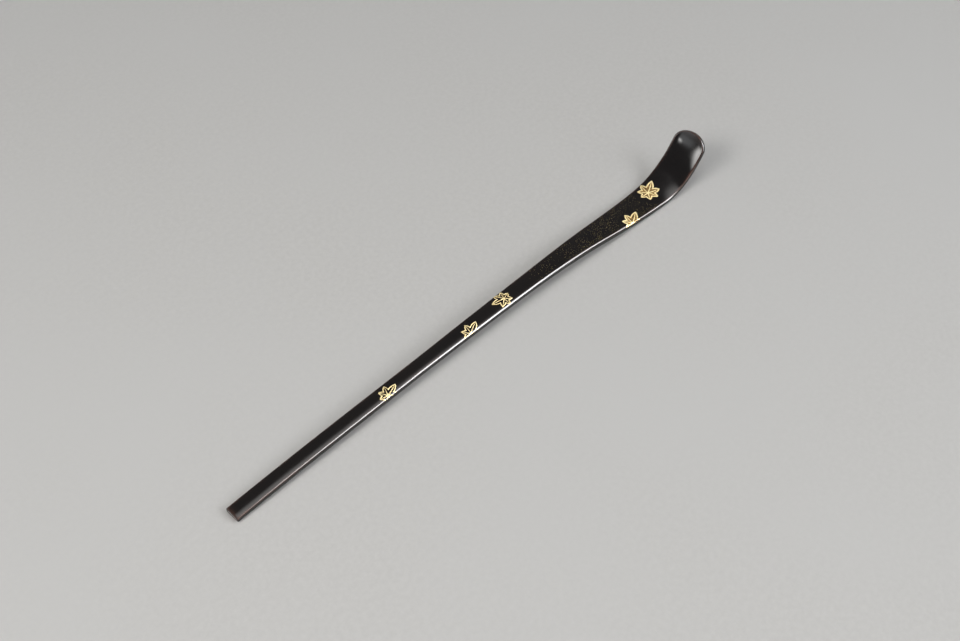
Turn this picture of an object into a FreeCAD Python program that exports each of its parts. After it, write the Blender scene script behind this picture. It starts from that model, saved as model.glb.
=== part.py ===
"""A lacquered tea scoop: one bent strip of wood with a rounded, upturned bowl at its far end.

The wood core is sealed in a ground coat and a black lacquer coat, and gold maple leaves and a
dusting of gold flakes are raised on the lacquer. Lengths are millimetres and angles degrees.

Row frame: +X runs from the handle's cut end to the bowl's tip, +Y is the left edge and +Z is up.
The origin is the middle of the bounding box on the surface that the scoop rests on.
"""

import FreeCAD, Part

import math
import os
import random

V = FreeCAD.Vector

# ---- the strip's side profile: tangent arcs from the handle's cut end to the tip -------------
START_SLOPE = 3.9
BENDS = (  # (arc length, turn upwards)
    (30.0, -2.0),  # grip, rising from the cut end
    (40.0, -0.5),
    (34.0, -1.3),  # crown of the arch
    (16.0, -2.8),
    (14.0, -3.9),  # neck, falling to the heel
    (14.0, 2.0),
    (10.0, 6.5),
    (5.0, 16.0),  # heel, the lowest point
    (10.0, 31.0),  # bowl, turning up
    (5.0, 9.0),
    (4.0, 2.0),
)
LENGTH = sum(length for length, turn in BENDS)

# ---- cross-section sizes along the strip: (distance from the cut end, value) -----------------
WIDTHS = ((0.0, 4.7), (30.0, 4.65), (60.0, 4.6), (80.0, 5.0), (105.0, 5.7), (125.0, 7.1),
          (140.0, 8.5), (155.0, 9.8), (168.0, 11.0), (182.0, 11.1))
THICKNESSES = ((0.0, 1.8), (30.0, 1.95), (130.0, 2.0), (155.0, 1.8), (170.0, 1.5), (182.0, 1.3))
CROWNS = ((0.0, 0.14), (100.0, 0.12), (130.0, 0.10), (150.0, 0.16), (162.0, 0.24), (171.0, -0.38),
          (177.0, -0.55), (182.0, -0.25))  # rise of the top's middle, below zero for a hollow
DISH_FLATNESS = 0.5  # 0 gives the bowl's hollow a plain arc, 1 a flat floor with steep walls
DISH_FULL_DEPTH = 0.3  # hollows from this depth on have the whole flatness
TIP_ROUND = 4.3  # length of the tip's rounded end
TOP_EDGE_RADII = ((0.0, 0.6), (20.0, 0.65), (140.0, 0.65), (156.0, 0.48), (182.0, 0.45))
BOTTOM_EDGE_RADIUS = 0.7
BELLY = 0.12  # how far the underside bulges at its middle
END_ROUND = 0.28  # rounding round the cut end and the tip's rim
END_ROUND_SHARE = 0.6  # the most of the half thickness that the end rounding takes
EDGE_SHARE = 0.8  # the most of the half thickness or half width that an edge radius takes
MIN_EDGE_RADIUS = 0.08
TIP_END_HALF_WIDTH = 0.25

# ---- where the solid's sections lie ------------------------------------------------------------
END_STATIONS = (0.0, 0.05, 0.14, END_ROUND)
SECTION_STEPS = ((3.0, 9.0), (126.0, 5.0), (149.0, 1.9))  # (first section, spacing from there on)
TIP_STEP = 8  # degrees of the tip's rounding between sections
TIP_LAST_GAP = 0.012  # from the last section to the very tip

# ---- coats -----------------------------------------------------------------------------------
LACQUER_THICKNESS = 0.2
GROUND_THICKNESS = 0.2

# ---- gold maple leaves -----------------------------------------------------------------------
# name: (distance of the hub from the cut end, girth distance of the hub from the top's middle
# towards +Y, direction of the main lobe from +X towards +Y, length of the main lobe)
LEAVES = {
    "leaf_1_handle_edge": (50.3, -1.55, 18.0, 3.95),
    "leaf_2_waist_edge": (80.0, -2.3, 28.0, 4.15),
    "leaf_3_waist_middle": (95.0, 0.0, 169.0, 3.9),
    "leaf_4_neck_edge": (144.5, -4.3, 31.0, 4.8),
    "leaf_5_heel": (157.8, 1.0, 26.0, 4.95),
}
# each lobe: (direction from the main lobe, length as a share of the main lobe's)
LOBES = ((0.0, 1.0), (49.0, 0.75), (99.0, 0.62), (151.0, 0.56), (209.0, 0.56), (261.0, 0.62),
         (311.0, 0.75))
NOTCH_SHARE = 0.62  # depth of the notches between lobes, as a share of the shorter lobe
LOBE_BULGE = 0.09  # how far a lobe's side bows out, as a share of the side's length
STROKE_WIDTH = 0.24
STROKE_HEIGHT = 0.05
STROKE_BED = 0.02  # how far a stroke's foot is set into the lacquer
VEIN_START = 0.30  # clear radius at a leaf's hub
VEIN_END_GAP = 0.42  # from a vein's end to the middle of the outline's tip
STROKE_STATIONS = 6
MITRE_LIMIT = 2.6  # longest mitre, as a share of the stroke's width
LEAF_EDGE_TURN = 62.0  # leaves that reach a rounded edge are cut off where it has turned this far
LEAST_STROKE = 0.25  # what is left of a cut stroke must be this long

# ---- gold dust -------------------------------------------------------------------------------
DUST_FROM, DUST_TO = 106.0, 156.0
DUST_COUNT = 90
DUST_RADII = (0.07, 0.14)
DUST_HEIGHT = 0.03
DUST_BED = 0.015  # how far a flake is set into the lacquer
DUST_GAP = 0.1  # least space between flakes
DUST_EDGE_GAP = 0.5
DUST_SEED = 11


def between(table, s):
    """Smooth value at s of a table of (place, value), level with its neighbours' mean slope."""
    if s <= table[0][0]:
        return table[0][1]
    if s >= table[-1][0]:
        return table[-1][1]
    rise = [(b[1] - a[1]) / (b[0] - a[0]) for a, b in zip(table, table[1:])]
    slope = [rise[0]]
    for before, after in zip(rise, rise[1:]):
        slope.append(0.0 if before * after <= 0 else 2 * before * after / (before + after))
    slope.append(rise[-1])
    i = max(k for k in range(len(table) - 1) if table[k][0] <= s)
    (x0, y0), (x1, y1) = table[i], table[i + 1]
    h = x1 - x0
    t = (s - x0) / h
    return ((1 + 2 * t) * (1 - t) ** 2 * y0 + t * (1 - t) ** 2 * h * slope[i]
            + t * t * (3 - 2 * t) * y1 + t * t * (t - 1) * h * slope[i + 1])


def spine(s):
    """Point (x, z) and heading in radians of the strip's middle line at arc length s."""
    x = z = 0.0
    heading = math.radians(START_SLOPE)
    left = s
    for length, turn in BENDS:
        run = min(left, length)
        curvature = math.radians(turn) / length
        x += (math.sin(heading + curvature * run) - math.sin(heading)) / curvature
        z += (math.cos(heading) - math.cos(heading + curvature * run)) / curvature
        heading += curvature * run
        left -= run
        if left <= 0.0:
            break
    return x, z, heading


def section(s, inset=0.0):
    """Cross-section sizes at s: half width, half thickness, crown, belly and edge radii."""
    half = between(WIDTHS, s) / 2
    tip_start = LENGTH - TIP_ROUND
    if s > tip_start:
        share = min((s - tip_start) / (TIP_ROUND - inset), 1.0)
        half = inset + (half - inset) * math.sqrt(1.0 - share * share)
    half -= inset
    thick = between(THICKNESSES, s) / 2 - inset
    rounding = min(END_ROUND, END_ROUND_SHARE * thick)
    to_end = max(min(s, LENGTH - s) - inset, 0.0)
    if to_end < rounding:
        trim = rounding - math.sqrt(rounding ** 2 - (rounding - to_end) ** 2)
        half = max(half - trim, TIP_END_HALF_WIDTH)
        thick -= trim
    full = between(WIDTHS, s) / 2
    crown = between(CROWNS, s) * min(1.0, half / full) ** 2
    room = EDGE_SHARE * min(thick, half)
    top_radius = max(MIN_EDGE_RADIUS, min(between(TOP_EDGE_RADII, s) - inset, room))
    low_radius = max(MIN_EDGE_RADIUS, min(BOTTOM_EDGE_RADIUS - inset, room))
    return half, thick, crown, BELLY * min(1.0, half / full), top_radius, low_radius


def place(s, y, n):
    """Row point (before the final shift) of section coordinates y and n at arc length s."""
    x, z, heading = spine(s)
    return V(x - n * math.sin(heading), y, z + n * math.cos(heading))


def flatness(bulge):
    """How far a hollow's floor is flattened. A raised crown stays a plain arc."""
    return DISH_FLATNESS * min(max(-bulge / DISH_FULL_DEPTH, 0.0), 1.0)


def edge_start(half, bulge, radius):
    """Distance from the middle, and tilt, at which a face runs smoothly into an edge's rounding."""
    steepness = 2.0 + 2.0 * flatness(bulge)
    start = half - radius
    for _ in range(4):  # each round brings the two closer to agreement
        tilt = math.atan(steepness * bulge / start)
        start = half - radius * (1.0 - math.sin(tilt))
    return start, tilt


def section_wire(s, inset):
    """Closed wire of the cross-section: a crowned top, rounded edges, flat sides and a belly."""
    half, thick, crown, belly, top_radius, low_radius = section(s, inset)
    top_y, top_tilt = edge_start(half, crown, top_radius)
    low_y, low_tilt = edge_start(half, belly, low_radius)
    quarter = math.pi / 2

    def face(reach, level, bulge):
        """The top (level 1) or the underside (level -1), from y = -reach to reach times level."""
        flat = flatness(bulge)
        rises = (0.0, (1.0 + flat) * bulge, (1.0 - flat) * bulge * 4 / 3, (1.0 + flat) * bulge, 0.0)
        curve = Part.BezierCurve()
        curve.setPoles([place(s, level * reach * (k - 2) / 2, level * (thick + rise))
                        for k, rise in enumerate(rises)])
        return curve.toShape()

    def rounding(side, level, radius, tilt):
        """One corner's arc, from the face to the side wall."""
        points = []
        for angle in (tilt, (tilt + quarter) / 2, quarter):
            y = half - radius * (1.0 - math.sin(angle))
            n = thick - radius * (math.cos(tilt) - math.cos(angle))
            points.append(place(s, side * y, level * n))
        return Part.Arc(*points).toShape()

    wall_top = thick - top_radius * math.cos(top_tilt)
    wall_low = low_radius * math.cos(low_tilt) - thick
    edges = [
        face(top_y, 1, crown),
        rounding(1, 1, top_radius, top_tilt),
        Part.makeLine(place(s, half, wall_top), place(s, half, wall_low)),
        rounding(1, -1, low_radius, low_tilt),
        face(low_y, -1, belly),
        rounding(-1, -1, low_radius, low_tilt),
        Part.makeLine(place(s, -half, wall_low), place(s, -half, wall_top)),
        rounding(-1, 1, top_radius, top_tilt),
    ]
    return Part.Wire(edges)


def stations(inset):
    """Arc lengths of the loft's sections: close at the ends and where the strip bends most."""
    places = list(END_STATIONS)
    tip_start = LENGTH - TIP_ROUND
    stops = [first for first, step in SECTION_STEPS[1:]] + [tip_start]
    for (first, step), stop in zip(SECTION_STEPS, stops):
        count = round((stop - first) / step)
        places += [first + (stop - first) * k / count for k in range(count)]
    places += [tip_start + TIP_ROUND * math.sin(math.radians(a)) for a in range(0, 86, TIP_STEP)]
    places.append(LENGTH - TIP_LAST_GAP)
    shrink = (LENGTH - 2 * inset) / LENGTH
    return [inset + s * shrink for s in places]


def strip(inset):
    """Solid strip, inset all round from the finished surface."""
    return Part.makeLoft([section_wire(s, inset) for s in stations(inset)], True, False)


def on_surface(s, girth, height):
    """Row point at a height above the lacquer, girth being measured round the section from the
    middle of the top, over the edge and down the side, positive towards +Y."""
    half, thick, crown, belly, top_radius, low_radius = section(s)
    top_y, top_tilt = edge_start(half, crown, top_radius)
    side = math.copysign(1.0, girth)
    left = abs(girth)
    if left <= top_y:
        share = left / top_y
        flat = flatness(crown)
        tilt = math.atan(crown * (2.0 * (1.0 - flat) * share + 4.0 * flat * share ** 3) / top_y)
        rise = crown * (1.0 - (1.0 - flat) * share ** 2 - flat * share ** 4)
        return place(s, side * (left + height * math.sin(tilt)),
                     thick + rise + height * math.cos(tilt))
    left -= top_y
    wall_top = thick - top_radius * math.cos(top_tilt)
    turn = top_tilt + left / top_radius
    if turn <= math.pi / 2:
        reach = top_radius + height
        return place(s, side * (half - top_radius + reach * math.sin(turn)),
                     wall_top + reach * math.cos(turn))
    left -= (math.pi / 2 - top_tilt) * top_radius
    return place(s, side * (half + height), wall_top - left)


def leaf_corners(hub, main_direction, main_length):
    """The leaf's outline corners in turn, tip, notch, tip and so on, as (s, girth) pairs."""
    def out(direction, radius):
        angle = math.radians(main_direction + direction)
        return hub[0] + radius * math.cos(angle), hub[1] + radius * math.sin(angle)

    corners = []
    for (direction, share), (after, share_after) in zip(LOBES, LOBES[1:] + LOBES[:1]):
        middle = (direction + after + (360.0 if after < direction else 0.0)) / 2
        corners.append(out(direction, share * main_length))
        corners.append(out(middle, NOTCH_SHARE * min(share, share_after) * main_length))
    return corners


def bowed(start, end):
    """Points of a gently bowed line from start to end, bulging to its right."""
    run = (end[0] - start[0], end[1] - start[1])
    points = []
    for k in range(STROKE_STATIONS):
        t = k / (STROKE_STATIONS - 1)
        rise = LOBE_BULGE * 4.0 * t * (1.0 - t)
        points.append((start[0] + t * run[0] + rise * run[1],
                       start[1] + t * run[1] - rise * run[0]))
    return points


def edge_room(point):
    """How far a (s, girth) point lies inside the line on the edge where leaves are cut off."""
    half, thick, crown, belly, top_radius, low_radius = section(point[0])
    top_y, top_tilt = edge_start(half, crown, top_radius)
    return top_y + top_radius * (math.radians(LEAF_EDGE_TURN) - top_tilt) - abs(point[1])


def cut_at_edge(points):
    """The part of a line inside the cut-off, and whether its start and its end were cut."""
    rooms = [edge_room(point) for point in points]
    kept = []
    for k, (point, room) in enumerate(zip(points, rooms)):
        if k and (room > 0) != (rooms[k - 1] > 0):
            before = points[k - 1]
            t = rooms[k - 1] / (rooms[k - 1] - room)
            kept.append((before[0] + t * (point[0] - before[0]),
                         before[1] + t * (point[1] - before[1])))
        if room > 0:
            kept.append(point)
    return kept, rooms[0] <= 0, rooms[-1] <= 0


def unit(a, b):
    """Unit vector from a to b."""
    length = math.hypot(b[0] - a[0], b[1] - a[1])
    return (b[0] - a[0]) / length, (b[1] - a[1]) / length


def stroke(points, start_cut=None, end_cut=None):
    """A raised gold line along (s, girth) points. A cut is the direction of an end's mitre."""
    wires = []
    last = len(points) - 1
    for k, point in enumerate(points):
        along = unit(points[max(k - 1, 0)], points[min(k + 1, last)])
        across = (-along[1], along[0])
        cut = start_cut if k == 0 else end_cut if k == last else None
        reach = STROKE_WIDTH / 2
        if cut is not None:
            lean = across[0] * cut[0] + across[1] * cut[1]
            reach = math.copysign(min(reach / abs(lean), MITRE_LIMIT * reach), lean)
            across = cut
        feet = [on_surface(point[0] + sign * reach * across[0], point[1] + sign * reach * across[1],
                           -STROKE_BED) for sign in (1, -1)]
        rise = on_surface(*point, STROKE_HEIGHT) - on_surface(*point, -STROKE_BED)
        ring = [feet[0], feet[1], feet[1] + rise, feet[0] + rise]
        wires.append(Part.makePolygon(ring + ring[:1]))
    return Part.makeLoft(wires, True, True)


def bisector(before, corner, after):
    """Unit direction of the mitre at a corner between two lines."""
    into = unit(before, corner)
    onward = unit(corner, after)
    tangent = (into[0] + onward[0], into[1] + onward[1])
    length = math.hypot(*tangent)
    return -tangent[1] / length, tangent[0] / length


def leaf(hub, main_direction, main_length):
    """A line-drawn maple leaf: a mitred outline and one vein along each lobe."""
    corners = leaf_corners(hub, main_direction, main_length)
    count = len(corners)
    sides = []
    for k in range(count):
        start, end = corners[k], corners[(k + 1) % count]
        sides.append(bowed(start, end))
    strokes = []
    for k, points in enumerate(sides):
        before, after = sides[k - 1], sides[(k + 1) % count]
        start_mitre = bisector(before[-2], points[0], points[1])
        end_mitre = bisector(points[-2], points[-1], after[1])
        kept, start_gone, end_gone = cut_at_edge(points)
        if len(kept) > 1 and math.dist(kept[0], kept[-1]) > LEAST_STROKE:
            strokes.append(stroke(kept, None if start_gone else start_mitre,
                                  None if end_gone else end_mitre))
    for k in range(0, count, 2):
        tip = corners[k]
        way = unit(hub, tip)
        reach = math.hypot(tip[0] - hub[0], tip[1] - hub[1]) - VEIN_END_GAP
        line = [(hub[0] + way[0] * r, hub[1] + way[1] * r)
                for r in (VEIN_START + (reach - VEIN_START) * j / (STROKE_STATIONS - 1)
                          for j in range(STROKE_STATIONS))]
        kept = cut_at_edge(line)[0]
        if len(kept) > 1 and math.dist(kept[0], kept[-1]) > LEAST_STROKE:
            strokes.append(stroke(kept))
    return Part.Compound(strokes)


def gold_dust():
    """Small gold discs scattered over the neck's top, thickest towards the bowl."""
    draw = random.Random(DUST_SEED)
    flakes = []
    while len(flakes) < DUST_COUNT:
        s = DUST_FROM + (DUST_TO - DUST_FROM) * math.sqrt(draw.random())
        half = section(s)[0] - DUST_EDGE_GAP
        girth = draw.uniform(-half, half)
        radius = draw.uniform(*DUST_RADII)
        if any(math.hypot(s - f[0], girth - f[1]) < f[2] + radius + DUST_GAP for f in flakes):
            continue
        if any(math.hypot(s - hub, girth - across) < length + radius + STROKE_WIDTH
               for hub, across, direction, length in LEAVES.values()):
            continue
        flakes.append((s, girth, radius))
    discs = []
    for s, girth, radius in flakes:
        foot = on_surface(s, girth, -DUST_BED)
        up = on_surface(s, girth, 1.0) - foot
        discs.append(Part.makeCylinder(radius, DUST_BED + DUST_HEIGHT, foot, up))
    return Part.Compound(discs)


def main():
    finished = strip(0.0)
    ground = strip(LACQUER_THICKNESS)
    core = strip(LACQUER_THICKNESS + GROUND_THICKNESS)
    nodes = {
        "wood_core": core,
        "ground_coat": ground.cut(core),
        "black_lacquer_coat": finished.cut(ground),
        "gold_dust": gold_dust(),
    }
    for name, (s, girth, direction, length) in LEAVES.items():
        nodes[name] = leaf((s, girth), direction, length)

    box = finished.optimalBoundingBox(False, False)
    shift = V(-(box.XMin + box.XMax) / 2, 0.0, -box.ZMin)
    os.makedirs("parts", exist_ok=True)
    for name, shape in nodes.items():
        shape.translate(shift)
        shape.exportStep("parts/" + name + ".step")
        print(name, "solids", len(shape.Solids), "valid", shape.isValid(), "volume", shape.Volume)
    print("overall", box.XLength, box.YLength, box.ZLength, "shift", shift)


main()
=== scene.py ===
"""Looks of a black-lacquered tea scoop with raised gold maple leaves and gold dust.

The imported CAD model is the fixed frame. The polished lacquer surface, the five gold leaves and the
gold flakes are rebuilt here at fine detail, in the row's frame. Design lengths are millimetres and
angles degrees, as in the CAD source; a mesh is scaled to metres when it is made.
"""
import math

import bpy
import numpy as np
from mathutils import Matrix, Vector


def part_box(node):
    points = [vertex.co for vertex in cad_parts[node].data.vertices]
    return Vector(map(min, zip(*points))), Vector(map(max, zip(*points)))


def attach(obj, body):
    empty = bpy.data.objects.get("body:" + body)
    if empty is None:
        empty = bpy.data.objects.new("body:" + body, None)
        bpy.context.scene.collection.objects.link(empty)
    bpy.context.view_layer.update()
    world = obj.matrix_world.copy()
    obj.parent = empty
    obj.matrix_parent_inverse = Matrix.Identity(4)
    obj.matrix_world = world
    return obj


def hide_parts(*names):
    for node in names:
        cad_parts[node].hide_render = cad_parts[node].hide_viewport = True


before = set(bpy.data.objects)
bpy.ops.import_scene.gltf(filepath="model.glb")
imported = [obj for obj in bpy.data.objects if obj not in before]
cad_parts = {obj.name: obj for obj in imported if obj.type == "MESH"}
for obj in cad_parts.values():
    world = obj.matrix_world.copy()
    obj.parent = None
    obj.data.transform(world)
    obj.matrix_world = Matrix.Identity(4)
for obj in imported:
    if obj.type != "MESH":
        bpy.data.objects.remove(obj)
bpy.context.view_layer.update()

MM = 0.001

# ---- the strip's side profile and sections, the same as in the CAD source ----------------------
START_SLOPE = 3.9
BENDS = (  # (arc length, turn upwards), from the handle's cut end to the bowl's tip
    (30.0, -2.0), (40.0, -0.5), (34.0, -1.3), (16.0, -2.8), (14.0, -3.9), (14.0, 2.0),
    (10.0, 6.5), (5.0, 16.0), (10.0, 31.0), (5.0, 9.0), (4.0, 2.0),
)
LENGTH = sum(length for length, turn in BENDS)
WIDTHS = ((0.0, 4.7), (30.0, 4.65), (60.0, 4.6), (80.0, 5.0), (105.0, 5.7), (125.0, 7.1),
          (140.0, 8.5), (155.0, 9.8), (168.0, 11.0), (182.0, 11.1))
THICKNESSES = ((0.0, 1.8), (30.0, 1.95), (130.0, 2.0), (155.0, 1.8), (170.0, 1.5), (182.0, 1.3))
CROWNS = ((0.0, 0.14), (100.0, 0.12), (130.0, 0.10), (150.0, 0.16), (162.0, 0.24), (171.0, -0.38),
          (177.0, -0.55), (182.0, -0.25))
TIP_ROUND = 4.3
TOP_EDGE_RADII = ((0.0, 0.6), (20.0, 0.65), (140.0, 0.65), (156.0, 0.48), (182.0, 0.45))
BOTTOM_EDGE_RADIUS = 0.7
BELLY = 0.12
DISH_FLATNESS = 0.5  # 0 gives the bowl a plain arc, 1 a flat floor with steep walls
DISH_FULL_DEPTH = 0.3
END_ROUND = 0.28
END_ROUND_SHARE = 0.6
EDGE_SHARE = 0.8
MIN_EDGE_RADIUS = 0.08
TIP_END_HALF_WIDTH = 0.25

# ---- gold leaves: hub place, hub girth, heading of the main lobe and its length ---------------
LEAVES = {
    "leaf_1_handle_edge": (50.3, -1.55, 18.0, 3.95),
    "leaf_2_waist_edge": (80.0, -2.3, 28.0, 4.15),
    "leaf_3_waist_middle": (95.0, 0.0, 169.0, 3.9),
    "leaf_4_neck_edge": (144.5, -4.3, 31.0, 4.8),
    "leaf_5_heel": (157.8, 1.0, 26.0, 4.95),
}
LOBES = ((0.0, 1.0), (49.0, 0.75), (99.0, 0.62), (151.0, 0.56), (209.0, 0.56), (261.0, 0.62),
         (311.0, 0.75))
NOTCH_SHARE = 0.62
LOBE_BULGE = 0.09
FILLED_LEAVES = ("leaf_4_neck_edge", "leaf_5_heel")  # bolder, with powder between their lines
LINE_WIDTH = 0.29
BOLD_LINE_WIDTH = 0.40
LINE_HEIGHT = 0.05
LEAF_EDGE_TURN = 62.0  # leaves that reach a rounded edge are cut off where it has turned this far
SIDE_BOWS = (0.8, 1.2)  # least and most bow of an outline side, as a share of LOBE_BULGE
SIDE_SWELL = 0.12  # how much wider a side is at its middle, as a share of the line's width
SIDE_VARIES = 0.1  # how much one side's width differs from another's
VEIN_REACHES = (0.84, 0.9)  # how far a vein runs towards its tip
VEIN_BOW = 0.03
VEIN_START_WIDTH, VEIN_TAPER = 1.05, 0.45  # as shares of the line's width
LINE_POINTS = 13
FAR = 0.6  # beyond this distance a line no longer matters
FILLET = 0.018  # where lines meet

# ---- how the brush and the powder vary: (size, length of the waves) ----------------------------
RIM_WAVERS = ((0.018, 0.5), (0.010, 0.13))  # a line's rim
CUT_WAVER = (0.04, 0.4)  # the cut-off along an edge
HEIGHT_WAVER = (0.12, 0.7)  # a line's height, as a share of it
GRAIN_LENGTH = 0.06
LINE_GRAIN = 0.003
POWDER_COVER = 0.01  # above zero, powder covers more than half of a filled leaf
POWDER_WAVER = (0.06, 0.2)
POWDER_RAGGED = 0.04
POWDER_HEIGHT, POWDER_GRAIN = 0.012, 0.004
POWDER_EDGE_GAP = 0.05
LEAST_HEIGHT = 0.002
RELIEF_PITCH = 0.045  # spacing of the grid that a leaf's relief is cut from
RELIEF_BED = 0.012  # how far a relief is set into the lacquer
LEAF_SEED, LEAF_SEED_STEP = 100, 10

# ---- gold dust --------------------------------------------------------------------------------
DUST_FROM, DUST_TO = 104.0, 156.0
DUST_COUNT = 900
DUST_CROWDING = 0.6  # below 1, flakes crowd towards the bowl
DUST_EDGE_GAP = 0.5
CLUMP_LENGTH = 2.6
CLUMP_LEVELS = (-0.9, 0.7)
LEAF_CLEARANCE = 0.9  # clear radius round a leaf's hub, as a share of the main lobe's length
FLAKE_RADIUS, FLAKE_RADIUS_MORE = 0.035, 0.055
FLAKE_CORNERS = (5, 8)
FLAKE_REACHES = (0.65, 1.15)  # least and most distance of a corner, as a share of the radius
FLAKE_UNEVEN = 0.5  # how far in radians a corner strays from an even spacing
FLAKE_LEAN = 0.1
FLAKE_TOP_SHARE = 0.8  # size of a flake's top, as a share of its foot
FLAKE_HEIGHT, FLAKE_PEAK, FLAKE_BED = 0.014, 0.018, 0.006
DUST_SEED, CLUMP_SEED = 29, 31
SUNK_FADE_IN, SUNK_FADE_OUT, SUNK_PAST = 30.0, 12.0, 4.0  # of the powder sunk in the lacquer

# ---- fineness of the body's mesh ----------------------------------------------------------------
END_RINGS = 8
RUN_RINGS, BOWL_RINGS = 190, 110
BOWL_FROM = 140.0
TIP_RING_STEP = 2.0  # degrees of the tip's rounding between rings
TIP_LAST_GAP = 0.002
RING_SHARES = (14, 10, 3, 9, 12)  # points on the half top, edge, side, low edge and half back
CAP_INSET = 0.8  # size of an end cap's inner ring

# ---- lacquer that lies thin along the edges ---------------------------------------------------
THIN_WIDTH = 0.35
THIN_END = 0.5

# ---- the camera ---------------------------------------------------------------------------------
CAMERA_TARGET = (-0.3, 2.25, 0.0)
CAMERA_AZIMUTH = -45.28
CAMERA_ELEVATION = 48.7
CAMERA_DISTANCE = 373.6
CAMERA_LENS = 51.0
SENSOR_WIDTH = 36.0

# ---- the lights: (name, bearing, elevation, distance, width, height, radiance, colour, what gets
# the light, soft share of the edges); places in metres and degrees, seen from the scoop ----------
WARM = (1.0, 0.985, 0.96)
COOL = (0.96, 0.98, 1.0)
BROWN = (1.0, 0.72, 0.62)
SOFTBOXES = (
    ("key", 224.0, 42.0, 0.9, 0.55, 0.5, 8.0, WARM, "matt", 0.3),
    ("right_fill", -20.0, 34.0, 1.0, 0.7, 0.6, 6.0, COOL, "matt", 0.3),
    ("top_fill", -60.0, 74.0, 1.0, 0.9, 0.8, 2.1, WARM, "matt", 0.3),
    ("overhead", 30.0, 80.0, 1.0, 0.92, 0.76, 2.2, WARM, "gloss", 0.18),
    ("right_window", -5.0, 41.0, 1.0, 0.9, 0.74, 24.0, COOL, "gloss", 0.22),
    ("right_pane", -17.5, 14.0, 1.0, 0.22, 0.6, 26.0, COOL, "gloss", 0.25),
    ("front_wall", -55.0, 26.0, 1.0, 1.0, 1.1, 3.6, BROWN, "gloss", 0.3),
    ("left_window", 173.0, 12.0, 1.0, 0.7, 0.74, 9.0, WARM, "gloss", 0.45),
    ("left_pane", 213.0, 18.0, 1.0, 0.26, 0.28, 9.0, WARM, "gloss", 0.45),
    ("left_wall", 205.0, 9.0, 1.0, 0.6, 0.7, 1.3, COOL, "gloss", 0.4),
)
WORLD_STRENGTH = 0.17
FLOOR_HALF = 1.6


# ================================================================================================
# The strip's surface
# ================================================================================================
def between(table, s):
    """Smooth value at s of a table of (place, value); s may be an array."""
    x, y = np.array(table).T
    rise = np.diff(y) / np.diff(x)
    product = rise[:-1] * rise[1:]
    total = np.where(product > 0, rise[:-1] + rise[1:], 1.0)
    inner = np.where(product > 0, 2 * product / total, 0.0)
    slope = np.concatenate([rise[:1], inner, rise[-1:]])
    s = np.clip(s, x[0], x[-1])
    i = np.clip(np.searchsorted(x, s, side="right") - 1, 0, len(x) - 2)
    h = x[i + 1] - x[i]
    t = (s - x[i]) / h
    return ((1 + 2 * t) * (1 - t) ** 2 * y[i] + t * (1 - t) ** 2 * h * slope[i]
            + t * t * (3 - 2 * t) * y[i + 1] + t * t * (t - 1) * h * slope[i + 1])


def bend_starts():
    """Arc length, x, z, heading and curvature at the start of each bend."""
    rows = []
    s = x = z = 0.0
    heading = math.radians(START_SLOPE)
    for length, turn in BENDS:
        curvature = math.radians(turn) / length
        rows.append((s, x, z, heading, curvature))
        x += (math.sin(heading + curvature * length) - math.sin(heading)) / curvature
        z += (math.cos(heading) - math.cos(heading + curvature * length)) / curvature
        heading += curvature * length
        s += length
    return np.array(rows)


STARTS = bend_starts()


def spine(s):
    """x, z and heading in radians of the strip's middle line at arc length s."""
    s = np.asarray(s, float)
    i = np.clip(np.searchsorted(STARTS[:, 0], s, side="right") - 1, 0, len(STARTS) - 1)
    s0, x0, z0, heading0, curvature = np.moveaxis(STARTS[i], -1, 0)
    heading = heading0 + curvature * (s - s0)
    x = x0 + (np.sin(heading) - np.sin(heading0)) / curvature
    z = z0 + (np.cos(heading0) - np.cos(heading)) / curvature
    return x, z, heading


def section(s):
    """Cross-section sizes at s: half width, half thickness, crown, belly and edge radii."""
    s = np.asarray(s, float)
    full = between(WIDTHS, s) / 2
    share = np.clip((s - (LENGTH - TIP_ROUND)) / TIP_ROUND, 0.0, 1.0)
    half = full * np.sqrt(1.0 - share ** 2)
    thick = between(THICKNESSES, s) / 2
    rounding = np.minimum(END_ROUND, END_ROUND_SHARE * thick)
    to_end = np.clip(np.minimum(s, LENGTH - s), 0.0, rounding)
    trim = rounding - np.sqrt(rounding ** 2 - (rounding - to_end) ** 2)
    half = np.maximum(half - trim, TIP_END_HALF_WIDTH)
    thick = thick - trim
    narrowing = np.minimum(1.0, half / full)
    room = EDGE_SHARE * np.minimum(thick, half)
    top_radius = np.maximum(MIN_EDGE_RADIUS, np.minimum(between(TOP_EDGE_RADII, s), room))
    low_radius = np.maximum(MIN_EDGE_RADIUS, np.minimum(BOTTOM_EDGE_RADIUS, room))
    crown = between(CROWNS, s) * narrowing ** 2
    return half, thick, crown, BELLY * narrowing, top_radius, low_radius


def flatness(bulge):
    """How far a hollow's floor is flattened; a raised crown stays a plain arc."""
    return DISH_FLATNESS * np.clip(-np.asarray(bulge) / DISH_FULL_DEPTH, 0.0, 1.0)


def edge_start(half, bulge, radius):
    """Where a face's bulge meets the edge's rounding smoothly: the place and the tilt there."""
    steepness = 2.0 + 2.0 * flatness(bulge)
    start = half - radius
    for _ in range(4):
        tilt = np.arctan(steepness * bulge / start)
        start = half - radius * (1.0 - np.sin(tilt))
    return start, tilt


def row_points(s, y, n):
    """Points in the row frame, in mm, of section coordinates y (left) and n (up) at s."""
    x, z, heading = spine(s)
    return np.stack([x - n * np.sin(heading) + SHIFT_X, y, z + n * np.cos(heading) + SHIFT_Z], -1)


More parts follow.
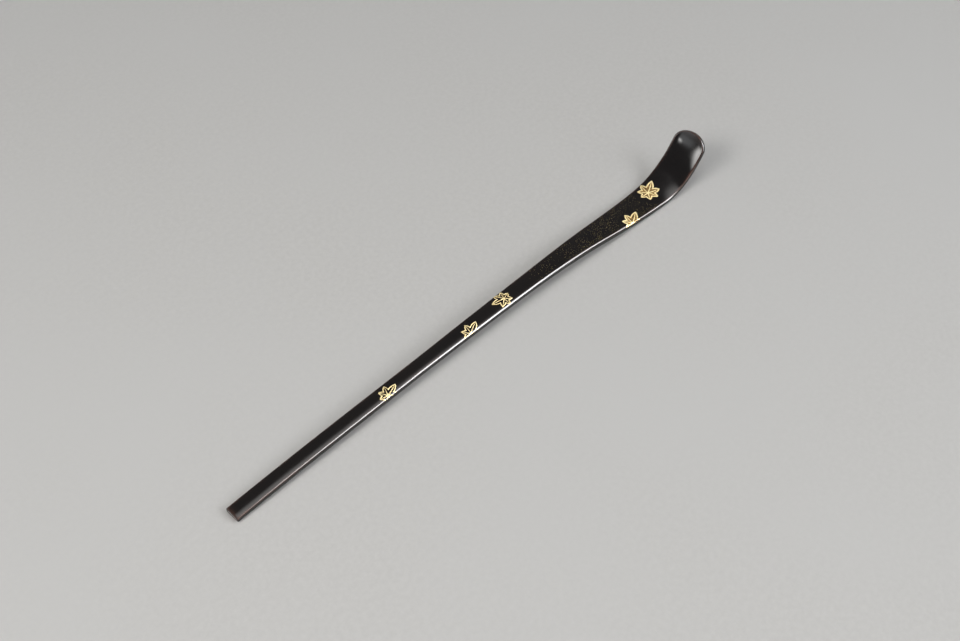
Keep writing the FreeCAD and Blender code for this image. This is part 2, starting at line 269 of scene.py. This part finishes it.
def on_surface(s, girth, height):
    """Row points at a height above the lacquer. Girth is measured round the section from the
    middle of the top, over the edge, down the side and under, positive towards +Y."""
    s, girth, height = np.broadcast_arrays(np.asarray(s, float), girth, height)
    half, thick, crown, belly, top_radius, low_radius = section(s)
    top_y, top_tilt = edge_start(half, crown, top_radius)
    low_y, low_tilt = edge_start(half, belly, low_radius)
    side = np.where(girth < 0, -1.0, 1.0)
    g = np.abs(girth)
    quarter = math.pi / 2

    on_top = np.minimum(g, top_y)
    share = on_top / top_y
    flat = flatness(crown)
    tilt = np.arctan(crown * (2.0 * (1.0 - flat) * share + 4.0 * flat * share ** 3) / top_y)
    y = on_top + height * np.sin(tilt)
    n = thick + crown * (1.0 - (1.0 - flat) * share ** 2 - flat * share ** 4) + height * np.cos(tilt)

    past = g - top_y
    arc = (quarter - top_tilt) * top_radius
    angle = top_tilt + np.clip(past, 0.0, arc) / top_radius
    reach = top_radius + height
    centre = thick - top_radius * np.cos(top_tilt)
    y = np.where(past > 0, half - top_radius + reach * np.sin(angle), y)
    n = np.where(past > 0, centre + reach * np.cos(angle), n)

    past = past - arc
    low_centre = low_radius * np.cos(low_tilt) - thick
    wall = centre - low_centre
    y = np.where(past > 0, half + height, y)
    n = np.where(past > 0, centre - np.minimum(past, wall), n)

    past = past - wall
    arc = (quarter - low_tilt) * low_radius
    angle = np.clip(past, 0.0, arc) / low_radius
    reach = low_radius + height
    y = np.where(past > 0, half - low_radius + reach * np.cos(angle), y)
    n = np.where(past > 0, low_centre - reach * np.sin(angle), n)

    past = past - arc
    under = np.maximum(low_y - past, 0.0)
    low_n = -thick - belly * (1.0 - (under / low_y) ** 2) - height
    y = np.where(past > 0, under, y)
    n = np.where(past > 0, low_n, n)
    return row_points(s, side * y, n)


def edge_weight(s, girth):
    """1 on the rounded edges and ends, where lacquer lies thin, falling to 0 on the faces."""
    half, thick, crown, belly, top_radius, low_radius = section(s)
    top_y, top_tilt = edge_start(half, crown, top_radius)
    g = np.abs(girth)
    middle = top_y + 0.5 * top_radius
    near = np.exp(-((g - middle) / THIN_WIDTH) ** 2)
    end = np.exp(-np.minimum(s, LENGTH - s) / THIN_END)
    return np.clip(near + end, 0.0, 1.0)


# ================================================================================================
# Seeded noise and small mesh helpers
# ================================================================================================
def value_noise(x, y, cell, seed):
    """Smooth noise in -1..1 over the plane, with features of about one cell."""
    rows, columns = 97, 89
    lattice = np.random.default_rng(seed).uniform(-1.0, 1.0, (rows, columns))
    u, v = x / cell, y / cell
    i, j = np.floor(u).astype(int), np.floor(v).astype(int)
    a, b = u - i, v - j
    a, b = a * a * (3 - 2 * a), b * b * (3 - 2 * b)

    def pick(di, dj):
        return lattice[(i + di) % rows, (j + dj) % columns]

    return ((pick(0, 0) * (1 - a) + pick(1, 0) * a) * (1 - b)
            + (pick(0, 1) * (1 - a) + pick(1, 1) * a) * b)


def new_piece(name, points, faces, smooth=True):
    """A mesh object from points in mm and faces, linked into the scene."""
    mesh = bpy.data.meshes.new(name)
    mesh.from_pydata([tuple(p) for p in np.asarray(points) * MM], [], faces)
    mesh.polygons.foreach_set("use_smooth", [smooth] * len(mesh.polygons))
    mesh.update()
    piece = bpy.data.objects.new(name, mesh)
    bpy.context.scene.collection.objects.link(piece)
    return piece


def add_attribute(piece, name, values):
    """A number for each of the piece's points, which its material reads."""
    attribute = piece.data.attributes.new(name, "FLOAT", "POINT")
    attribute.data.foreach_set("value", np.asarray(values, np.float32))


# ================================================================================================
# The lacquered body
# ================================================================================================
def body_stations():
    """Arc lengths of the body's rings: fine along the strip and finest at the two ends."""
    ends = END_ROUND * (1.0 - np.cos(np.linspace(0.0, math.pi / 2, END_RINGS + 1)))
    tip_start = LENGTH - TIP_ROUND
    run = np.linspace(END_ROUND, BOWL_FROM, RUN_RINGS)[1:]
    bowl = np.linspace(BOWL_FROM, tip_start, BOWL_RINGS)[1:]
    tip = tip_start + TIP_ROUND * np.sin(np.radians(np.arange(TIP_RING_STEP, 90.0, TIP_RING_STEP)))
    return np.concatenate([ends, run, bowl, tip, [LENGTH - TIP_LAST_GAP]])


def body_girths(s):
    """Girth values round the ring at s, from the middle of the top to the middle of the back."""
    half, thick, crown, belly, top_radius, low_radius = section(s)
    top_y, top_tilt = edge_start(half, crown, top_radius)
    low_y, low_tilt = edge_start(half, belly, low_radius)
    quarter = math.pi / 2
    marks = [0.0 * half, top_y]
    marks.append(marks[-1] + (quarter - top_tilt) * top_radius)
    marks.append(marks[-1] + 2 * thick - top_radius * np.cos(top_tilt) - low_radius * np.cos(low_tilt))
    marks.append(marks[-1] + (quarter - low_tilt) * low_radius)
    marks.append(marks[-1] + low_y)
    parts = []
    for before, after, count in zip(marks, marks[1:], RING_SHARES):
        t = np.arange(count) / count
        parts.append(before[:, None] + (after - before)[:, None] * t)
    parts.append(marks[-1][:, None])
    return np.concatenate(parts, 1)


def lacquer_body():
    """The whole polished strip as one closed mesh."""
    s = body_stations()
    left = body_girths(s)
    girth = np.concatenate([left, -left[:, -2:0:-1]], 1)
    rings, around = girth.shape
    place = np.repeat(s[:, None], around, 1)
    points = on_surface(place, girth, 0.0)
    index = np.arange(rings * around).reshape(rings, around)
    nxt = np.roll(index, -1, 1)
    quads = np.stack([index[:-1], nxt[:-1], nxt[1:], index[1:]], -1).reshape(-1, 4)
    faces = [tuple(q) for q in quads]
    flat = points.reshape(-1, 3)
    extra = []
    for ring, order in ((0, -1), (rings - 1, 1)):
        middle = points[ring].mean(0)
        inner = middle + CAP_INSET * (points[ring] - middle)
        first = len(flat) + sum(len(e) for e in extra)
        extra.append(np.vstack([inner, middle]))
        for k in range(around):
            j = (k + 1) % around
            rim = (index[ring, k], index[ring, j], first + j, first + k)
            fan = (first + k, first + j, first + around)
            faces.append(rim[::-order])
            faces.append(fan[::-order])
    piece = new_piece("lacquered_body", np.vstack([flat] + extra), faces)
    caps = np.ones(sum(len(e) for e in extra))
    add_attribute(piece, "thin_lacquer", np.concatenate([edge_weight(place, girth).ravel(), caps]))
    dusting = np.clip((place - DUST_FROM) / SUNK_FADE_IN, 0.0, 1.0)
    dusting = dusting * np.clip((DUST_TO + SUNK_PAST - place) / SUNK_FADE_OUT, 0.0, 1.0)
    dusting = dusting * (np.abs(girth) < section(place)[0])
    add_attribute(piece, "dusting", np.concatenate([dusting.ravel(), 0 * caps]))
    return piece


# ================================================================================================
# The gold leaves: raised lines as one relief per leaf
# ================================================================================================
def leaf_corners(hub, heading, length):
    """The outline's corners in turn, tip, notch, tip and so on, as (s, girth) pairs."""
    def out(direction, radius):
        angle = math.radians(heading + direction)
        return np.array([hub[0] + radius * math.cos(angle), hub[1] + radius * math.sin(angle)])

    corners = []
    for (direction, share), (after, share_after) in zip(LOBES, LOBES[1:] + LOBES[:1]):
        middle = (direction + after + (360.0 if after < direction else 0.0)) / 2
        corners.append(out(direction, share * length))
        corners.append(out(middle, NOTCH_SHARE * min(share, share_after) * length))
    return corners


def leaf_lines(hub, heading, length, rng):
    """Brush lines as (points, widths as shares of the line's width): the bowed sides of the
    outline, then one vein per lobe. With them go the outline's corners."""
    corners = leaf_corners(hub, heading, length)
    lines = []
    t = np.linspace(0.0, 1.0, LINE_POINTS)
    arch = 4.0 * t * (1.0 - t)
    for k, start in enumerate(corners):
        run = corners[(k + 1) % len(corners)] - start
        outward = np.array([run[1], -run[0]])
        bulge = LOBE_BULGE * rng.uniform(*SIDE_BOWS) * arch
        points = start + t[:, None] * run + bulge[:, None] * outward
        widths = 1.0 + SIDE_SWELL * np.sin(math.pi * t) + rng.uniform(-SIDE_VARIES, SIDE_VARIES)
        lines.append((points, widths))
    for tip in corners[::2]:
        run = tip - hub
        across = np.array([-run[1], run[0]])
        points = hub + t[:, None] * rng.uniform(*VEIN_REACHES) * run
        points = points + rng.uniform(-VEIN_BOW, VEIN_BOW) * arch[:, None] * across
        lines.append((points, VEIN_START_WIDTH - VEIN_TAPER * t))
    return lines, np.array(corners)


def line_field(grid, lines, half_width):
    """How far inside the nearest line each grid point lies, in mm, joined with small fillets."""
    total = np.zeros(grid.shape[:-1])
    for points, widths in lines:
        best = np.full(grid.shape[:-1], -np.inf)
        for a, b, wa, wb in zip(points, points[1:], widths, widths[1:]):
            run = b - a
            t = np.clip(((grid - a) @ run) / (run @ run), 0.0, 1.0)
            gap = np.linalg.norm(grid - a - t[..., None] * run, axis=-1)
            best = np.maximum(best, half_width * (wa + (wb - wa) * t) - gap)
        total += np.exp(np.maximum(best, -FAR) / FILLET)
    return FILLET * np.log(total)


def edge_room(s, girth):
    """How far a point lies inside the line on the rounded edge where leaves are cut off."""
    half, thick, crown, belly, top_radius, low_radius = section(s)
    top_y, top_tilt = edge_start(half, crown, top_radius)
    return top_y + top_radius * (math.radians(LEAF_EDGE_TURN) - top_tilt) - np.abs(girth)


def inside_outline(grid, corners):
    """True where a grid point lies inside the outline's polygon."""
    x, y = grid[..., 0], grid[..., 1]
    inside = np.zeros(x.shape, bool)
    for (x0, y0), (x1, y1) in zip(corners, np.roll(corners, -1, 0)):
        crosses = (y0 > y) != (y1 > y)
        at = x0 + (y - y0) * (x1 - x0) / (y1 - y0 if y1 != y0 else 1e-9)
        inside ^= crosses & (x < at)
    return inside


def relief(name, xs, ys, field, height):
    """A closed low relief over the strip: its rim is where the field crosses zero."""
    solid = field > 0
    numbers = {}
    places = []
    heights = []

    def corner(i, j):
        if (i, j) not in numbers:
            numbers[(i, j)] = len(places)
            places.append((xs[i], ys[j]))
            heights.append(height[i, j])
        return numbers[(i, j)]

    def crossing(a, b):
        key = (a, b) if a < b else (b, a)
        if key not in numbers:
            (i0, j0), (i1, j1) = key
            t = field[key[0]] / (field[key[0]] - field[key[1]])
            numbers[key] = len(places)
            places.append((xs[i0] + t * (xs[i1] - xs[i0]), ys[j0] + t * (ys[j1] - ys[j0])))
            heights.append(0.0)
        return numbers[key]

    faces = []
    rim = set()
    touched = solid[:-1, :-1] | solid[1:, :-1] | solid[:-1, 1:] | solid[1:, 1:]
    for i, j in np.argwhere(touched):
        ring = [(i, j), (i + 1, j), (i + 1, j + 1), (i, j + 1)]
        face = []
        for k, a in enumerate(ring):
            b = ring[(k + 1) % 4]
            if solid[a]:
                face.append(corner(*a))
            if solid[a] != solid[b]:
                face.append(crossing(a, b))
        faces.append(tuple(face))
    for face in faces:
        for a, b in zip(face, face[1:] + face[:1]):
            if (b, a) in rim:
                rim.remove((b, a))
            else:
                rim.add((a, b))
    places = np.array(places)
    top = on_surface(places[:, 0], places[:, 1], np.array(heights))
    low = on_surface(places[:, 0], places[:, 1], -RELIEF_BED)
    count = len(places)
    under = [tuple(v + count for v in face[::-1]) for face in faces]
    walls = [(b, a, a + count, b + count) for a, b in sorted(rim)]
    piece = new_piece(name, np.vstack([top, low]), faces + under + walls)
    raised = np.array(heights) / LINE_HEIGHT
    add_attribute(piece, "raised", np.concatenate([raised, raised]))
    return piece


def gold_leaf(node, seed):
    """One leaf: brushed lines with rounded tops, and on the filled leaves powder between them."""
    s, girth, heading, length = LEAVES[node]
    rng = np.random.default_rng(seed)
    lines, corners = leaf_lines(np.array([s, girth]), heading, length, rng)
    filled = node in FILLED_LEAVES
    half_width = (BOLD_LINE_WIDTH if filled else LINE_WIDTH) / 2
    margin = 3 * half_width
    low, high = corners.min(0) - margin, corners.max(0) + margin
    xs = np.arange(low[0], high[0], RELIEF_PITCH)
    ys = np.arange(low[1], high[1], RELIEF_PITCH)
    grid = np.stack(np.meshgrid(xs, ys, indexing="ij"), -1)
    x, y = grid[..., 0], grid[..., 1]

    def waver(size_and_length, draw):
        size, waves = size_and_length
        return size * value_noise(x, y, waves, seed + draw)

    rim = waver(RIM_WAVERS[0], 0) + waver(RIM_WAVERS[1], 1)
    grain = value_noise(x, y, GRAIN_LENGTH, seed + 2)
    room = edge_room(x, y) + waver(CUT_WAVER, 5)
    field = np.minimum(line_field(grid, lines, half_width) + rim, room)
    fullness = np.clip(field / half_width, 0.0, 1.0)
    height = LINE_HEIGHT * np.sqrt(1.0 - (1.0 - fullness) ** 2)
    height = height * (1.0 + waver(HEIGHT_WAVER, 3)) + LINE_GRAIN * grain * (fullness > 0)
    if filled:
        powder = POWDER_COVER + waver(POWDER_WAVER, 4) + POWDER_RAGGED * grain
        powder = np.where(inside_outline(grid, corners) & (room > POWDER_EDGE_GAP), powder, -1.0)
        field = np.maximum(field, powder)
        height = np.maximum(height, np.where(powder > 0, POWDER_HEIGHT + POWDER_GRAIN * grain, 0.0))
    return relief(node + "_gold", xs, ys, field, np.maximum(height, LEAST_HEIGHT))


# ================================================================================================
# The gold dust: flakes with ragged outlines
# ================================================================================================
def flake_places(rng):
    """Where the flakes lie: in clumps on the neck's top, thickest towards the bowl."""
    places = []
    while len(places) < DUST_COUNT:
        s = DUST_FROM + (DUST_TO - DUST_FROM) * rng.random() ** DUST_CROWDING
        half = float(section(s)[0]) - DUST_EDGE_GAP
        girth = rng.uniform(-half, half)
        clump = value_noise(np.array(s), np.array(girth), CLUMP_LENGTH, CLUMP_SEED)
        if clump < rng.uniform(*CLUMP_LEVELS):
            continue
        if any(math.hypot(s - hub, girth - across) < LEAF_CLEARANCE * length
               for hub, across, heading, length in LEAVES.values()):
            continue
        places.append((s, girth))
    return places


def gold_flakes():
    """All the flakes as one mesh, each a low ragged cone let into the lacquer."""
    rng = np.random.default_rng(DUST_SEED)
    points = []
    faces = []
    for s, girth in flake_places(rng):
        radius = FLAKE_RADIUS + FLAKE_RADIUS_MORE * rng.random() ** 3
        corners = rng.integers(*FLAKE_CORNERS)
        turn = rng.uniform(0.0, 2 * math.pi) + np.sort(rng.uniform(0.0, FLAKE_UNEVEN, corners))
        turn = turn + np.arange(corners) * 2 * math.pi / corners
        reach = radius * rng.uniform(*FLAKE_REACHES, corners)
        lean = rng.uniform(-FLAKE_LEAN, FLAKE_LEAN, 2)
        ds, dg = reach * np.cos(turn), reach * np.sin(turn)
        height = FLAKE_HEIGHT + lean[0] * ds + lean[1] * dg
        first = len(points)
        points.extend(on_surface(s + FLAKE_TOP_SHARE * ds, girth + FLAKE_TOP_SHARE * dg, height))
        points.extend(on_surface(s + ds, girth + dg, -FLAKE_BED))
        points.append(on_surface(s, girth, FLAKE_PEAK))
        for k in range(corners):
            j = (k + 1) % corners
            faces.append((first + k, first + j, first + 2 * corners))
            faces.append((first + corners + k, first + corners + j, first + j, first + k))
        faces.append(tuple(first + corners + k for k in range(corners))[::-1])
    return new_piece("gold_dust_flakes", points, faces, smooth=False)


# ================================================================================================
# Materials
# ================================================================================================
class Nodes:
    """A node tree, with short ways to add and join nodes."""

    def __init__(self, tree):
        self.tree = tree

    def feed(self, socket, value):
        if isinstance(value, bpy.types.NodeSocket):
            self.tree.links.new(value, socket)
        else:
            socket.default_value = value

    def add(self, kind, **inputs):
        node = self.tree.nodes.new("ShaderNode" + kind)
        for key, value in inputs.items():
            self.feed(node.inputs[key.replace("_", " ")], value)
        return node

    def span(self, value, low, high, to_low, to_high, way="LINEAR"):
        """The value's range from low to high, stretched to another range and held at its ends."""
        node = self.add("MapRange", Value=value, From_Min=low, From_Max=high, To_Min=to_low,
                        To_Max=to_high)
        node.interpolation_type = way
        return node.outputs["Result"]

    def math(self, operation, first, second=0.0):
        node = self.add("Math")
        node.operation = operation
        self.feed(node.inputs[0], first)
        self.feed(node.inputs[1], second)
        return node.outputs[0]


class Material(Nodes):
    """A material's nodes. Its patterns are laid by the place on the piece, in metres."""

    def __init__(self, name):
        self.material = bpy.data.materials.new(name)
        self.material.use_nodes = True
        super().__init__(self.material.node_tree)
        self.shader = self.tree.nodes["Principled BSDF"]
        self.place = self.add("TexCoord").outputs["Object"]

    def stretched(self, scale):
        return self.add("Mapping", Vector=self.place, Scale=scale).outputs["Vector"]

    def noise(self, scale, vector=None, detail=3.0, roughness=0.55):
        node = self.add("TexNoise", Vector=vector or self.place, Scale=scale, Detail=detail,
                        Roughness=roughness)
        return node.outputs["Fac"]

    def ramp(self, value, *stops):
        node = self.add("ValToRGB", Fac=value)
        elements = node.color_ramp.elements
        while len(elements) < len(stops):
            elements.new(0.5)
        for element, (position, colour) in zip(elements, stops):
            element.position = position
            element.color = (*colour, 1.0)
        return node.outputs["Color"]

    def mix(self, share, first, second):
        """The first colour, with a share of the second."""
        node = self.add("Mix")
        node.data_type = "RGBA"
        for socket, value in zip((node.inputs[0], node.inputs[6], node.inputs[7]), (share, first, second)):
            self.feed(socket, (*value, 1.0) if isinstance(value, tuple) else value)
        return node.outputs[2]

    def attribute(self, name):
        node = self.add("Attribute")
        node.attribute_name = name
        return node.outputs["Fac"]

    def bump(self, value, distance, strength=1.0, under=None):
        node = self.add("Bump", Height=value, Distance=distance, Strength=strength)
        if under is not None:
            self.feed(node.inputs["Normal"], under)
        return node.outputs["Normal"]

    def finish(self, **sockets):
        for key, value in sockets.items():
            self.feed(self.shader.inputs[key.replace("_", " ")], value)
        return self.material


def black_lacquer():
    """Deep black lacquer, brown where thin, with polishing marks and sunken gold powder."""
    n = Material("black_lacquer")
    black, warm_black = (0.0050, 0.0036, 0.0034), (0.0085, 0.0060, 0.0052)
    thin_brown = (0.085, 0.042, 0.032)
    powder_gold = (0.26, 0.21, 0.09)
    colour = n.ramp(n.noise(90.0), (0.3, black), (0.7, warm_black))
    worn = n.span(n.noise(260.0), 0.35, 0.7, 0.35, 1.0)
    colour = n.mix(n.math("MULTIPLY", n.attribute("thin_lacquer"), worn), colour, thin_brown)

    cells = n.add("TexVoronoi", Vector=n.place, Scale=11000.0)
    grains = n.span(cells.outputs["Distance"], 0.20, 0.34, 1.0, 0.0)
    draw = n.add("TexWhiteNoise", Vector=cells.outputs["Position"]).outputs["Value"]
    chosen = n.span(draw, 0.80, 0.82, 0.0, 1.0)
    clumps = n.span(n.noise(420.0), 0.42, 0.62, 0.0, 1.0)
    where = n.math("MULTIPLY", clumps, n.attribute("dusting"))
    sunk = n.math("MULTIPLY", n.math("MULTIPLY", grains, chosen), where)
    colour = n.mix(n.math("MULTIPLY", sunk, 0.7), colour, powder_gold)

    swirl = n.noise(2400.0, n.stretched((0.12, 1.0, 1.0)), 4.0)
    haze = n.span(n.noise(160.0), 0.3, 0.7, 0.0, 0.035)
    rough = n.math("ADD", n.span(swirl, 0.35, 0.65, 0.09, 0.13), haze)
    flow = n.bump(n.noise(210.0, detail=1.5), 0.00006, 0.35)
    marks = n.bump(swirl, 0.000004, 0.25, flow)
    return n.finish(Base_Color=colour, Roughness=rough, Normal=marks, IOR=1.56)


def gold(name, bed, rough_low, rough_high, grains=None):
    """Fine gold powder on lacquer. It has the bed's colour where it lies thin, and on raised lines
    the colours of its dull and bright grains."""
    n = Material(name)
    grain = n.noise(9000.0, detail=4.0, roughness=0.65)
    colour = (*bed, 1.0)
    if grains:
        dull, bright = grains
        between_them = tuple(0.5 * (a + b) for a, b in zip(bright, dull))
        blend = n.math("ADD", n.math("MULTIPLY", grain, 0.6), n.math("MULTIPLY", n.noise(900.0), 0.4))
        powder = n.ramp(blend, (0.36, dull), (0.5, between_them), (0.62, bright))
        colour = n.mix(n.span(n.attribute("raised"), 0.3, 0.75, 0.0, 1.0), bed, powder)
    rough = n.span(grain, 0.3, 0.7, rough_high, rough_low)
    return n.finish(Base_Color=colour, Metallic=0.85, Roughness=rough, Normal=n.bump(grain, 0.00003, 0.6))


def carved_wood():
    """Straight-grained wood of the hidden core."""
    n = Material("carved_wood")
    dark, light, pore = (0.34, 0.20, 0.10), (0.58, 0.40, 0.22), (0.2, 0.11, 0.05)
    along = n.stretched((0.06, 1.0, 1.0))
    bands = n.add("TexWave", Vector=along, Scale=900.0, Distortion=6.0, Detail=3.0).outputs["Fac"]
    pores = n.noise(5200.0, along, 2.0)
    colour = n.mix(n.span(pores, 0.55, 0.75, 0.0, 0.5), n.ramp(bands, (0.1, dark), (0.8, light)), pore)
    return n.finish(Base_Color=colour, Roughness=n.span(pores, 0.3, 0.7, 0.5, 0.75),
                    Normal=n.bump(pores, 0.00004, 0.5))


def lacquer_ground():
    """The hard, flatted ground coat under the black lacquer."""
    n = Material("lacquer_ground")
    dark, light, even = (0.05, 0.036, 0.026), (0.11, 0.082, 0.06), (0.07, 0.05, 0.036)
    clay = n.noise(3000.0, detail=6.0, roughness=0.7)
    colour = n.mix(n.noise(220.0), n.ramp(clay, (0.3, dark), (0.7, light)), even)
    return n.finish(Base_Color=colour, Roughness=n.span(clay, 0.3, 0.7, 0.75, 0.92),
                    Normal=n.bump(clay, 0.00003, 0.6))


def pale_floor():
    """A plain pale matt table."""
    n = Material("pale_floor")
    dark, light, even = (0.60, 0.59, 0.575), (0.66, 0.65, 0.635), (0.64, 0.635, 0.625)
    fibre = n.noise(700.0, detail=5.0, roughness=0.65)
    broad = n.span(n.noise(9.0, detail=2.0), 0.3, 0.7, 0.0, 1.0)
    colour = n.mix(broad, n.ramp(fibre, (0.3, dark), (0.7, light)), even)
    return n.finish(Base_Color=colour, Roughness=0.9, Specular_IOR_Level=0.0,
                    Normal=n.bump(fibre, 0.00006, 0.4))


def set_material(piece, material):
    piece.data.materials.clear()
    piece.data.materials.append(material)


# ================================================================================================
# Stage, lights and camera
# ================================================================================================
def add_floor():
    corners = [(x * FLOOR_HALF, y * FLOOR_HALF, 0) for x, y in ((-1, -1), (1, -1), (1, 1), (-1, 1))]
    mesh = bpy.data.meshes.new("floor")
    mesh.from_pydata(corners, [], [(0, 1, 2, 3)])
    floor = bpy.data.objects.new("floor", mesh)
    bpy.context.scene.collection.objects.link(floor)
    set_material(floor, pale_floor())


def seen_direction(bearing, elevation):
    """Unit vector in the row frame. Bearing 0 is to the picture's right, 90 is away from it."""
    a = math.radians(bearing + CAMERA_AZIMUTH)
    e = math.radians(elevation)
    return Vector((math.cos(a) * math.cos(e), math.sin(a) * math.cos(e), math.sin(e)))


def softbox(name, bearing, elevation, distance, width, height, radiance, colour, seen, fade):
    """A soft-edged rectangular light that faces the scoop. seen is "matt" for light that only the
    floor and other scattering surfaces get, and "gloss" for a card that only mirrors."""
    data = bpy.data.lights.new(name, "AREA")
    data.shape = "RECTANGLE"
    data.size = width
    data.size_y = height
    data.energy = radiance * math.pi * width * height
    data.color = colour
    data.use_nodes = True
    n = Nodes(data.node_tree)
    across = n.add("SeparateXYZ", Vector=n.add("NewGeometry").outputs["Parametric"])
    falls = []
    for share in (across.outputs["X"], across.outputs["Y"]):
        from_middle = n.math("ABSOLUTE", n.math("SUBTRACT", share, 0.5))
        falls.append(n.span(from_middle, 0.5 - fade, 0.5, 1.0, 0.0, "SMOOTHSTEP"))
    n.feed(n.tree.nodes["Emission"].inputs["Strength"], n.math("MULTIPLY", *falls))
    light = bpy.data.objects.new(name, data)
    light.location = seen_direction(bearing, elevation) * distance
    light.rotation_euler = (-light.location).to_track_quat("-Z", "Y").to_euler()
    light.visible_camera = False
    light.visible_diffuse = seen == "matt"
    light.visible_glossy = seen == "gloss"
    bpy.context.scene.collection.objects.link(light)


def add_lights():
    for row in SOFTBOXES:
        softbox(*row)
    world = bpy.data.worlds.new("studio")
    world.use_nodes = True
    background = world.node_tree.nodes["Background"]
    background.inputs["Color"].default_value = (*COOL, 1.0)
    background.inputs["Strength"].default_value = WORLD_STRENGTH
    bpy.context.scene.world = world


def add_camera():
    data = bpy.data.cameras.new("camera")
    data.lens = CAMERA_LENS
    data.sensor_width = SENSOR_WIDTH
    data.sensor_fit = "HORIZONTAL"
    data.clip_start = 0.01
    camera = bpy.data.objects.new("camera", data)
    back = seen_direction(-90.0, CAMERA_ELEVATION)
    camera.location = Vector(CAMERA_TARGET) * MM + back * CAMERA_DISTANCE * MM
    camera.rotation_euler = (-back).to_track_quat("-Z", "Y").to_euler()
    bpy.context.scene.collection.objects.link(camera)
    bpy.context.scene.camera = camera


# ================================================================================================
# Putting it together
# ================================================================================================
# The strip starts at x = 0 on its middle line, and the row's origin is under the box's middle.
SHIFT_X = SHIFT_Z = 0.0


def find_shift():
    """The shift from the strip's own start to the row frame, from the CAD coat's box."""
    low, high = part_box("black_lacquer_coat")
    s = body_stations()
    girth = body_girths(s)
    points = on_surface(np.repeat(s[:, None], girth.shape[1], 1), girth, 0.0)
    mine_low, mine_high = points.min((0, 1)), points.max((0, 1))
    x = (low.x + high.x) / 2 / MM - (mine_low[0] + mine_high[0]) / 2
    return x, low.z / MM - mine_low[2]


def main():
    global SHIFT_X, SHIFT_Z
    SHIFT_X, SHIFT_Z = find_shift()
    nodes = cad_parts

    body = lacquer_body()
    set_material(body, black_lacquer())
    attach(body, "root")
    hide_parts("black_lacquer_coat")

    dull, bright = (0.55, 0.43, 0.20), (0.89, 0.79, 0.48)
    line_gold = gold("line_gold", (0.27, 0.17, 0.06), 0.5, 0.7, grains=(dull, bright))
    for number, node in enumerate(LEAVES):
        leaf = gold_leaf(node, LEAF_SEED + LEAF_SEED_STEP * number)
        set_material(leaf, line_gold)
        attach(leaf, "root")
        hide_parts(node)

    flakes = gold_flakes()
    set_material(flakes, gold("flake_gold", (0.3, 0.24, 0.1), 0.4, 0.6))
    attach(flakes, "root")
    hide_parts("gold_dust")

    set_material(nodes["wood_core"], carved_wood())
    set_material(nodes["ground_coat"], lacquer_ground())

    add_floor()
    add_lights()
    add_camera()
    bpy.context.scene.view_settings.view_transform = "Standard"


main()
